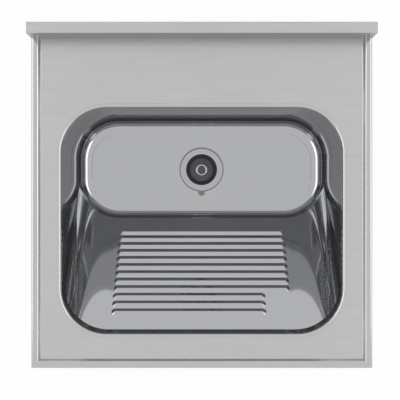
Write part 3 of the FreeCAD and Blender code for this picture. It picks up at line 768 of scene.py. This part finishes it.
waste_bm = turned(WASTE_SECTION)
turned_faces = set(waste_bm.faces)
lug_disc = bmesh.ops.create_circle(
    waste_bm, cap_ends=True, radius=LUG, segments=LUG_STEPS,
    matrix=Matrix.Translation(lug_centre - UP * LUG_UNDER),
)["verts"]
lug_top = bmesh.ops.extrude_face_region(waste_bm, geom=lug_disc[0].link_faces[:])["geom"]
lug_corners = [item for item in lug_top if isinstance(item, bmesh.types.BMVert)]
bmesh.ops.translate(waste_bm, vec=UP * LUG_HEIGHT, verts=lug_corners)
for face in set(waste_bm.faces) - turned_faces:
    face.material_index = 1
rounded(waste_bm, [item for item in lug_top if isinstance(item, bmesh.types.BMEdge)], LUG_ROUND, 3)
bmesh.ops.recalc_face_normals(waste_bm, faces=waste_bm.faces)
print("waste faces:", len(waste_bm.faces))

# %% [markdown]
# The trap's nut is screwed on the tail. The thread is a small closed triangle, extruded step by step round
# the tail and a little down each time, which is how a lathe cuts it too.

# %% Waste: thread
TAIL = 23.9 * MM
THREAD = 1.2 * MM
THREAD_HALF = 0.9 * MM
THREAD_SUNK = 0.15 * MM
THREAD_GAP = 0.02 * MM
THREAD_ROUND = 0.15 * MM
THREAD_PITCH = 2.3 * MM
THREAD_TURNS = 9
THREAD_STEPS = 40
THREAD_START = 39.6 * MM
THREAD_MIDDLE = FLOOR - 45 * MM
root = TAIL - THREAD - THREAD_SUNK
thread_bm = bmesh.new()
closed_wire(thread_bm, [
    (root, -THREAD_HALF, 0), (TAIL - THREAD_GAP, 0, THREAD_ROUND), (root, THREAD_HALF, 0),
])
bmesh.ops.translate(thread_bm, vec=DRAIN - UP * THREAD_START, verts=thread_bm.verts)
turn_step = Matrix.Rotation(2 * pi / THREAD_STEPS, 4, "Z")
drop_step = Matrix.Translation(DRAIN - UP * THREAD_PITCH / THREAD_STEPS)
advance = drop_step @ turn_step @ Matrix.Translation(-DRAIN)
thread_front = thread_bm.edges[:]
for step in range(THREAD_STEPS * THREAD_TURNS):
    thread_front = grow(thread_bm, thread_front, lambda corner: advance @ corner.co)
for above in (True, False):
    end = [edge for edge in open_edges(thread_bm) if (edge.verts[0].co.z > THREAD_MIDDLE) == above]
    bmesh.ops.contextual_create(thread_bm, geom=end)
bmesh.ops.recalc_face_normals(thread_bm, faces=thread_bm.faces)
waste_bm.from_mesh(as_mesh(thread_bm, "thread"))
waste = make_piece(waste_bm, "turned_waste", "sink", ["waste_body"], "waste_steel", waste_steel, dark_lug_metal)
shade(waste, TURNED_SPLIT)

# %% [markdown]
# Under the plug a flat grid keeps cloth out of the drain. It is a disc with six slots between hub and rim,
# so the disc's outline and the six slot outlines are filled as one face and thickened.

# %% Waste: strainer grid
GRID = 22.5 * MM
GRID_DROP = 31.5 * MM
GRID_GAUGE = 1.5 * MM
GRID_EDGE = 0.3 * MM
SLOTS = 6
SLOT_HALF = 2.5 * MM
SLOT_ROUND = SLOT_HALF * 0.999
SLOT_START = 4 * MM
SLOT_END = 17.4 * MM
grid_bm = bmesh.new()
bmesh.ops.create_circle(grid_bm, radius=GRID, segments=TURN_STEPS)
for index in range(SLOTS):
    window = bmesh.new()
    slot_face = rounded_plate(window, SLOT_HALF, SLOT_START, SLOT_END, 0, SLOT_ROUND, 6)
    bmesh.ops.delete(window, geom=[slot_face], context="FACES_ONLY")
    window.transform(Matrix.Rotation(index * 2 * pi / SLOTS, 4, "Z"))
    grid_bm.from_mesh(as_mesh(window, "slot"))
bmesh.ops.remove_doubles(grid_bm, verts=grid_bm.verts, dist=NEAR)
bmesh.ops.triangle_fill(grid_bm, use_beauty=True, edges=grid_bm.edges[:], normal=UP)
face_up(grid_bm, widest)
bmesh.ops.translate(grid_bm, vec=DRAIN - UP * GRID_DROP, verts=grid_bm.verts)
grid = make_piece(grid_bm, "strainer_disc", "sink", ["strainer_grid"], "waste_steel", waste_steel)
gauge(grid, GRID_GAUGE)
soften(grid, GRID_EDGE)
shade(grid, TURNED_SPLIT)

# %% [markdown]
# Rubber, fibre, moulded plastic and bitumen all look dull, but not alike. They come from the same recipe as
# the metals, at other scales: rubber is fine and smooth, bitumen coarse and pitted, fibre streaky.

# %% Dull finishes
DULL_DETAIL = 5
DULL_FINE = 0.5
plug_rubber, seal_rubber, washer_fibre, nut_plastic, sound_pad = dull_finishes = [
    grained_finish(*values, detail=DULL_DETAIL, fine=DULL_FINE) for values in (
        ("plug_rubber", (0.093, 0.095, 0.106), (900, 900, 900), (0.42, 0.58), (0.85, 1.2), 0.3, 0.05 * MM),
        ("seal_rubber", (0.03, 0.03, 0.03), (600, 600, 600), (0.6, 0.75), (0.8, 1.25), 0.3, 0.05 * MM),
        ("washer_fibre", (0.35, 0.22, 0.14), (300, 1500, 1500), (0.7, 0.9), (0.75, 1.2), 0.4, 0.1 * MM),
        ("nut_plastic", (0.06, 0.06, 0.065), (1800, 1800, 1800), (0.38, 0.5), (0.9, 1.1), 0.25, 0.04 * MM),
        ("sound_pad", (0.05, 0.05, 0.055), (260, 260, 260), (0.62, 0.85), (0.6, 1.5), 0.7, 0.4 * MM),
    )
]
print("dull finishes:", [finish.name for finish in dull_finishes])

# %% [markdown]
# The plug is moulded rubber: a taper that seals in the seat, with a shallow groove round it, and two low
# sloping steps on top. The boss in its middle is a crowned steel ring with a rubber centre, on a stem that
# goes through the plug. Both ride on their own body, so they lift out of the waste together.

# %% Plug and boss
PLUG_SECTION = [
    (3.1, -11, 0), (17, -11, 0.6), (18.3, -12, 0.4), (21, -12, 0.5), (22.3, -13, 0.4), (24.9, -13, 0.9),
    (23.9, -17.4, 0.3), (23.3, -17.8, 0.2), (23.1, -18.8, 0.2), (23.55, -19.2, 0.3), (22.55, -24, 0.9),
    (3.1, -24, 0),
]
BOSS_SECTION = [
    (0, -9, 0), (7.4, -9, 0.6), (8, -7.2, 0.5), (10, -6, 1.6), (12, -7.2, 0.5), (12, -11, 0), (3, -11, 0),
    (3, -27.1, 0.4), (0, -27.1, 0),
]
CENTRE_RADIUS = 7.5 * MM
CENTRE_DEPTH = 9.5 * MM
plug = make_piece(turned(PLUG_SECTION), "moulded_plug", "plug_unit", ["plug"], "plug_rubber", plug_rubber)
shade(plug, MOULDED_SPLIT)
boss_bm = turned(BOSS_SECTION, wire)
for face in boss_bm.faces:
    middle = face.calc_center_median() - DRAIN
    if middle.xy.length < CENTRE_RADIUS and middle.z > -CENTRE_DEPTH:
        face.material_index = 1
boss = make_piece(boss_bm, "dished_boss", "plug_unit", ["plug_boss"], "waste_steel", waste_steel, plug_rubber)
shade(boss, TURNED_SPLIT)

# %% [markdown]
# A brass nut under the plug holds the boss's stem. It is a hexagon filled around its bore and thickened
# upwards, so its skin is drawn on the underside and looks down.

# %% Plug nut
NUT_RADIUS = 7 * MM
NUT_BORE = 3.1 * MM
NUT_DROP = 27 * MM
NUT_HEIGHT = 3 * MM
NUT_EDGE = 0.4 * MM
NUT_SHARP = radians(50)
nut_brass = metal("nut_brass", (0.65, 0.50, 0.25), (900, 900, 900), (0.2, 0.32), (0.9, 1.05), 0.2)
nut_bm = bmesh.new()
bmesh.ops.create_circle(nut_bm, radius=NUT_RADIUS, segments=6)
bmesh.ops.create_circle(nut_bm, radius=NUT_BORE, segments=36)
bmesh.ops.triangle_fill(nut_bm, use_beauty=True, edges=nut_bm.edges[:], normal=UP)
face_up(nut_bm, widest, way=-1)
bmesh.ops.translate(nut_bm, vec=DRAIN - UP * NUT_DROP, verts=nut_bm.verts)
nut = make_piece(nut_bm, "plug_hexagon_nut", "plug_unit", ["plug_nut"], "nut_brass", nut_brass)
gauge(nut, NUT_HEIGHT)
soften(nut, NUT_EDGE, NUT_SHARP)
shade(nut, TURNED_SPLIT)

# %% [markdown]
# Rings clamp the waste to the floor: a thin seal under the flange, whose edge shows as a dark line round
# it, and below the sheet a thick rubber gasket, a fibre washer that lets the nut slide, and a moulded ring
# nut with grips. The rings are turned like the waste.

# %% Seals and washer
for node, inner, outer, top, bottom, soft, slot, finish in (
    ("flange_seal", 33.6, 45.0, -1.6, -2.6, 0.2, "seal_rubber", seal_rubber),
    ("lower_gasket", 33.3, 43.3, -3.6, -6.6, 0.6, "seal_rubber", seal_rubber),
    ("friction_washer", 33.3, 43.3, -6.6, -7.6, 0.15, "washer_fibre", washer_fibre),
):
    ring = turned([(inner, top, soft), (outer, top, soft), (outer, bottom, soft), (inner, bottom, soft)])
    shade(make_piece(ring, f"{node}_ring", "sink", [node], slot, finish), TURNED_SPLIT)

# %% [markdown]
# The ring nut's body is turned as well. Its grips are blocks with rounded edges, repeated round the rim and
# sunk into it, as a mould would make them in one shot with the ring.

# %% Ring nut
NUT_TOP = -7.6
NUT_BOTTOM = -20.6
NUT_RIM = 41
GRIPS = 6
GRIP_LENGTH = 10 * MM
GRIP_WIDTH = 9 * MM
GRIP_ROUND = 1.2 * MM
ring_bm = turned([
    (33.3, NUT_TOP, 0.4), (NUT_RIM, NUT_TOP, 0.6), (NUT_RIM, -14.1, 1), (38.5, NUT_BOTTOM, 0.8),
    (33.3, NUT_BOTTOM, 0.4),
])
for index in range(GRIPS):
    block = bmesh.ops.create_cube(ring_bm, size=1)["verts"]
    bmesh.ops.scale(ring_bm, vec=(GRIP_LENGTH, GRIP_WIDTH, (NUT_TOP - NUT_BOTTOM) * MM), verts=block)
    bmesh.ops.translate(ring_bm, vec=(NUT_RIM * MM, 0, (NUT_TOP + NUT_BOTTOM) / 2 * MM), verts=block)
    bmesh.ops.rotate(ring_bm, matrix=Matrix.Rotation(index * 2 * pi / GRIPS, 3, "Z"), verts=block)
    bmesh.ops.translate(ring_bm, vec=DRAIN, verts=block)
    rounded(ring_bm, edges_of(block), GRIP_ROUND, 3)
bmesh.ops.recalc_face_normals(ring_bm, faces=ring_bm.faces)
ring_nut = make_piece(ring_bm, "moulded_ring_nut", "sink", ["back_nut"], "nut_plastic", nut_plastic)
shade(ring_nut, MOULDED_SPLIT)

# %% [markdown]
# Hidden under the deck are two folded channels that stiffen it and four brackets that hook over the return
# flange and take the cabinet's screws. They are galvanised: zinc freezes in flat crystals, so the finish
# is a mosaic of cells that differ a little in tone and gloss, which a Voronoi texture gives directly.

# %% Galvanised steel
CRYSTALS = 120
ZINC_TONES = ((0.33, 0.34, 0.35, 1), (0.52, 0.53, 0.54, 1))
ZINC_ROUGH = (0.35, 0.6)
galvanised_steel = bpy.data.materials.new("galvanised_steel")
galvanised_steel.use_nodes = True
nodes = galvanised_steel.node_tree.nodes
link = galvanised_steel.node_tree.links.new
zinc = nodes["Principled BSDF"]
zinc.inputs["Metallic"].default_value = 1
place = nodes.new("ShaderNodeTexCoord")
crystals = nodes.new("ShaderNodeTexVoronoi")
crystals.inputs["Scale"].default_value = CRYSTALS
link(place.outputs["Object"], crystals.inputs["Vector"])
tone = nodes.new("ShaderNodeValToRGB")
for stop, colour in zip(tone.color_ramp.elements, ZINC_TONES):
    stop.color = colour
link(crystals.outputs["Color"], tone.inputs["Fac"])
link(tone.outputs["Color"], zinc.inputs["Base Color"])
gloss = nodes.new("ShaderNodeMapRange")
for socket, value in zip(("To Min", "To Max"), ZINC_ROUGH):
    gloss.inputs[socket].default_value = value
link(crystals.outputs["Color"], gloss.inputs["Value"])
link(gloss.outputs["Result"], zinc.inputs["Roughness"])
print("galvanised finish:", galvanised_steel.name)

# %% [markdown]
# A channel is a strip with two lips that are spot-welded to the deck from below. As with the splashback,
# its section is a rounded wire that is turned across the sink and pulled along it.

# %% Stiffening channels
CHANNEL_GAUGE = 1.2 * MM
CHANNEL_HALF = 235 * MM
CHANNEL_HEIGHT = 14 * MM
CHANNEL_LIP = 8 * MM
LIP_BEND = 1.2 * MM
WEB_BEND = 2 * MM
DECK_UNDER = DECK_TOP - SHEET
for name, node, middle, width in (
    ("front_stiffener", "front_channel", -264 * MM, 18 * MM),
    ("rear_stiffener", "rear_channel", 230 * MM, 50 * MM),
):
    channel_bm = bmesh.new()
    side = width / 2
    under_lip = DECK_UNDER - CHANNEL_GAUGE
    web = DECK_UNDER - CHANNEL_HEIGHT
    wire(channel_bm, [
        (-side - CHANNEL_LIP, under_lip, 0), (-side, under_lip, LIP_BEND), (-side, web, WEB_BEND),
        (side, web, WEB_BEND), (side, under_lip, LIP_BEND), (side + CHANNEL_LIP, under_lip, 0),
    ])
    bmesh.ops.rotate(channel_bm, matrix=Matrix.Rotation(pi / 2, 3, "Z"), verts=channel_bm.verts)
    bmesh.ops.translate(channel_bm, vec=(-CHANNEL_HALF, middle, 0), verts=channel_bm.verts)
    grow(channel_bm, channel_bm.edges[:], lambda corner: Vector((CHANNEL_HALF, corner.co.y, corner.co.z)))
    face_up(channel_bm, lowest, way=-1)
    channel = make_piece(channel_bm, name, "sink", [node], "galvanised_steel", galvanised_steel)
    gauge(channel, CHANNEL_GAUGE)
    shade(channel, SHEET_SPLIT)

# %% [markdown]
# A bracket is a tab with a rounded foot and one screw hole, bent over at the top so that it hangs on the
# flange. The bent strip comes from a wire, its foot's corners from a vertex bevel, and the hole from
# filling the tab's face again around a circle.

# %% Fixing brackets
BRACKET_GAUGE = 1.5 * MM
BRACKET_HALF = 20 * MM
BRACKET_FACE = 282.2 * MM
BRACKET_END = 298.7 * MM
BRACKET_DROP = 36 * MM
BRACKET_BEND = 2.4 * MM
BRACKET_PLACE = 190 * MM
TAB_CORNER = 7 * MM
SCREW_HOLE = 2.75 * MM
SCREW_DROP = 20 * MM
for side, end, node in (
    (-1, -1, "bracket_front_left"), (1, -1, "bracket_front_right"),
    (-1, 1, "bracket_rear_left"), (1, 1, "bracket_rear_right"),
):
    tab_bm = bmesh.new()
    hook = SHEET + BRACKET_GAUGE
    wire(tab_bm, [
        (BRACKET_END, hook, 0), (BRACKET_FACE, hook, BRACKET_BEND), (BRACKET_FACE, -BRACKET_DROP, 0),
    ])
    bmesh.ops.translate(tab_bm, vec=(0, -BRACKET_HALF, 0), verts=tab_bm.verts)
    grow(tab_bm, tab_bm.edges[:], lambda corner: Vector((corner.co.x, BRACKET_HALF, corner.co.z)))
    tab_foot = [corner for corner in tab_bm.verts if corner.co.z < MM - BRACKET_DROP]
    rounded(tab_bm, tab_foot, TAB_CORNER, 6, "VERTICES")
    tab_face = lowest(tab_bm.faces)
    tab_outline = tab_face.edges[:]
    bmesh.ops.delete(tab_bm, geom=[tab_face], context="FACES_ONLY")
    through = Matrix.Translation((BRACKET_FACE, 0, -SCREW_DROP)) @ Matrix.Rotation(pi / 2, 4, "Y")
    hole = bmesh.ops.create_circle(tab_bm, radius=SCREW_HOLE, segments=32, matrix=through)["verts"]
    bmesh.ops.triangle_fill(tab_bm, use_beauty=True, edges=tab_outline + edges_of(hole), normal=(1, 0, 0))
    bmesh.ops.scale(tab_bm, vec=(side, 1, 1), verts=tab_bm.verts)
    bmesh.ops.translate(tab_bm, vec=(0, end * BRACKET_PLACE, 0), verts=tab_bm.verts)
    face_up(tab_bm, highest)
    bracket = make_piece(tab_bm, f"bent_{node}", "sink", [node], "galvanised_steel", galvanised_steel)
    gauge(bracket, BRACKET_GAUGE)
    soften(bracket, DEBURR)
    shade(bracket, SHEET_SPLIT)

# %% [markdown]
# Bitumen pads glued to the outside of the bowl deaden the sound of running water. Each is cut from thick
# sheet with rounded corners.

# %% Sound pads
PAD_CORNER = 9 * MM
PAD_EDGE = 0.7 * MM
for node, turn in (
    ("floor_pad_left", Matrix.Rotation(pi, 4, "X")),
    ("floor_pad_right", Matrix.Rotation(pi, 4, "X")),
    ("wall_pad_left", Matrix.Rotation(-pi / 2, 4, "Y")),
    ("wall_pad_right", Matrix.Rotation(pi / 2, 4, "Y")),
    ("wall_pad_rear", Matrix.Rotation(-pi / 2, 4, "X")),
):
    low, high = (Vector(corner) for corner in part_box(node))
    spread = turn.inverted() @ (high - low)
    half, deep, thickness = abs(spread.x) / 2, abs(spread.y) / 2, abs(spread.z)
    pad_bm = bmesh.new()
    rounded_plate(pad_bm, half, -deep, deep, thickness / 2, PAD_CORNER, 8)
    pad_bm.transform(Matrix.Translation((low + high) / 2) @ turn)
    pad = make_piece(pad_bm, f"glued_{node}", "sink", [node], "sound_pad", sound_pad)
    gauge(pad, thickness)
    soften(pad, PAD_EDGE)
    shade(pad, TURNED_SPLIT)

# %% [markdown]
# The camera stands about 1.2 m above the deck and looks straight down, a little in front of and left of
# the middle. Its lens gives the perspective in which the splashback's front face just shows.

# %% Camera
IMAGE_SIDE = 400
FOCAL_PIXELS = 697
SENSOR = 36
CAMERA_PLACE = (-3.25 * MM, -4.35 * MM, 1263 * MM)
scene = bpy.context.scene
camera_data = bpy.data.cameras.new("camera")
camera_data.sensor_width = SENSOR
camera_data.lens = SENSOR * FOCAL_PIXELS / IMAGE_SIDE
camera = bpy.data.objects.new("camera", camera_data)
camera.location = CAMERA_PLACE
scene.collection.objects.link(camera)
scene.camera = camera
print("lens", round(camera_data.lens, 2), "mm")

# %% [markdown]
# Steel shows its surroundings, so the light is most of the look. The room is plain white all round, which
# gives the even grey of the floor and the deck. Rays that leave the camera or a mirror see the room as
# white; rays that light dull surfaces see it a little dimmer.

# %% White room
ROOM_LIGHT = 0.7
WHITE = (1, 1, 1, 1)
room = bpy.data.worlds.new("white_room")
scene.world = room
room.use_nodes = True
nodes = room.node_tree.nodes
link = room.node_tree.links.new
nodes.clear()


def seen_directly(nodes, link):
    """1 for rays from the camera, off a mirror or through glass, 0 for the rest."""
    path = nodes.new("ShaderNodeLightPath")
    seen = path.outputs["Is Camera Ray"]
    for kind in ("Is Glossy Ray", "Is Transmission Ray"):
        either = nodes.new("ShaderNodeMath")
        either.operation = "MAXIMUM"
        link(seen, either.inputs[0])
        link(path.outputs[kind], either.inputs[1])
        seen = either.outputs["Value"]
    return seen


choose = nodes.new("ShaderNodeMixShader")
link(seen_directly(nodes, link), choose.inputs["Fac"])
for socket, strength in ((1, ROOM_LIGHT), (2, 1)):
    wall_light = nodes.new("ShaderNodeBackground")
    wall_light.inputs["Strength"].default_value = strength
    wall_light.inputs["Color"].default_value = WHITE
    link(wall_light.outputs["Background"], choose.inputs[socket])
out = nodes.new("ShaderNodeOutputWorld")
link(choose.outputs["Shader"], out.inputs["Surface"])
print("room lights dull surfaces at", ROOM_LIGHT)

# %% [markdown]
# Two long soft boxes, left and right and tilted towards the sink, are brighter than the room. They draw the
# white streaks down the floor's rounded ends and the bright line along rim and bead. Area lamps do this
# directly, because a mirror shows them with their own outline.

# %% Soft boxes
BOX_WIDTH = 0.9
BOX_LENGTH = 3
BOX_POWER = 15
BOX_REACH = 2
BOX_LEVEL = 1.6
BOX_TILT = radians(51)
for side in (-1, 1):
    box_data = bpy.data.lights.new("soft_box", "AREA")
    box_data.shape = "RECTANGLE"
    box_data.size = BOX_WIDTH
    box_data.size_y = BOX_LENGTH
    box_data.energy = BOX_POWER
    soft_box = bpy.data.objects.new("soft_box", box_data)
    soft_box.location = (side * BOX_REACH, 0, BOX_LEVEL)
    soft_box.rotation_euler = (0, side * BOX_TILT, 0)
    scene.collection.objects.link(soft_box)
    print("soft box at", tuple(soft_box.location))

# %% [markdown]
# The floor is a wide white sheet just under the waste. Most of its white is its own where the camera or a
# mirror looks at it, and the rest is lit, so the soft shadow under the sink stays.

# %% Floor
GROUND = FLOOR - 62.5 * MM
GROUND_HALF = 12
OWN_WHITE = 0.95
PAPER = (0.85, 0.85, 0.85, 1)
floor_bm = bmesh.new()
bmesh.ops.create_grid(floor_bm, x_segments=1, y_segments=1, size=GROUND_HALF)
bmesh.ops.translate(floor_bm, vec=(0, 0, GROUND), verts=floor_bm.verts)
floor_mesh = as_mesh(floor_bm, "studio_floor")
paper = bpy.data.materials.new("white_paper")
paper.use_nodes = True
nodes = paper.node_tree.nodes
link = paper.node_tree.links.new
nodes.clear()
lit = nodes.new("ShaderNodeBsdfDiffuse")
lit.inputs["Color"].default_value = PAPER
own = nodes.new("ShaderNodeEmission")
own.inputs["Strength"].default_value = 1
own.inputs["Color"].default_value = WHITE
share = nodes.new("ShaderNodeMath")
share.operation = "MULTIPLY"
share.inputs[1].default_value = OWN_WHITE
link(seen_directly(nodes, link), share.inputs[0])
blend = nodes.new("ShaderNodeMixShader")
link(share.outputs["Value"], blend.inputs["Fac"])
link(lit.outputs["BSDF"], blend.inputs[1])
link(own.outputs["Emission"], blend.inputs[2])
out = nodes.new("ShaderNodeOutputMaterial")
link(blend.outputs["Shader"], out.inputs["Surface"])
floor_mesh.materials.append(paper)
studio_floor = bpy.data.objects.new("studio_floor", floor_mesh)
scene.collection.objects.link(studio_floor)
print("floor at", round(GROUND, 4))

# %% [markdown]
# In the bowl, light is thrown to and fro between floor, walls and ramp, and each turn darkens it. The dark
# bands come from several reflections in a row, so more bounces are allowed than a plain scene needs. The
# view stays on Standard, which leaves the colours as they are written.

# %% Bounces and view
MIRROR_BOUNCES = 12
ALL_BOUNCES = 16
scene.cycles.max_bounces = ALL_BOUNCES
scene.cycles.glossy_bounces = MIRROR_BOUNCES
scene.view_settings.view_transform = "Standard"
print("mirror bounces:", MIRROR_BOUNCES)

# %% [markdown]
# Last, the script ends here. The dressing must not change the sink's size.

# %% End
print("scene ends")
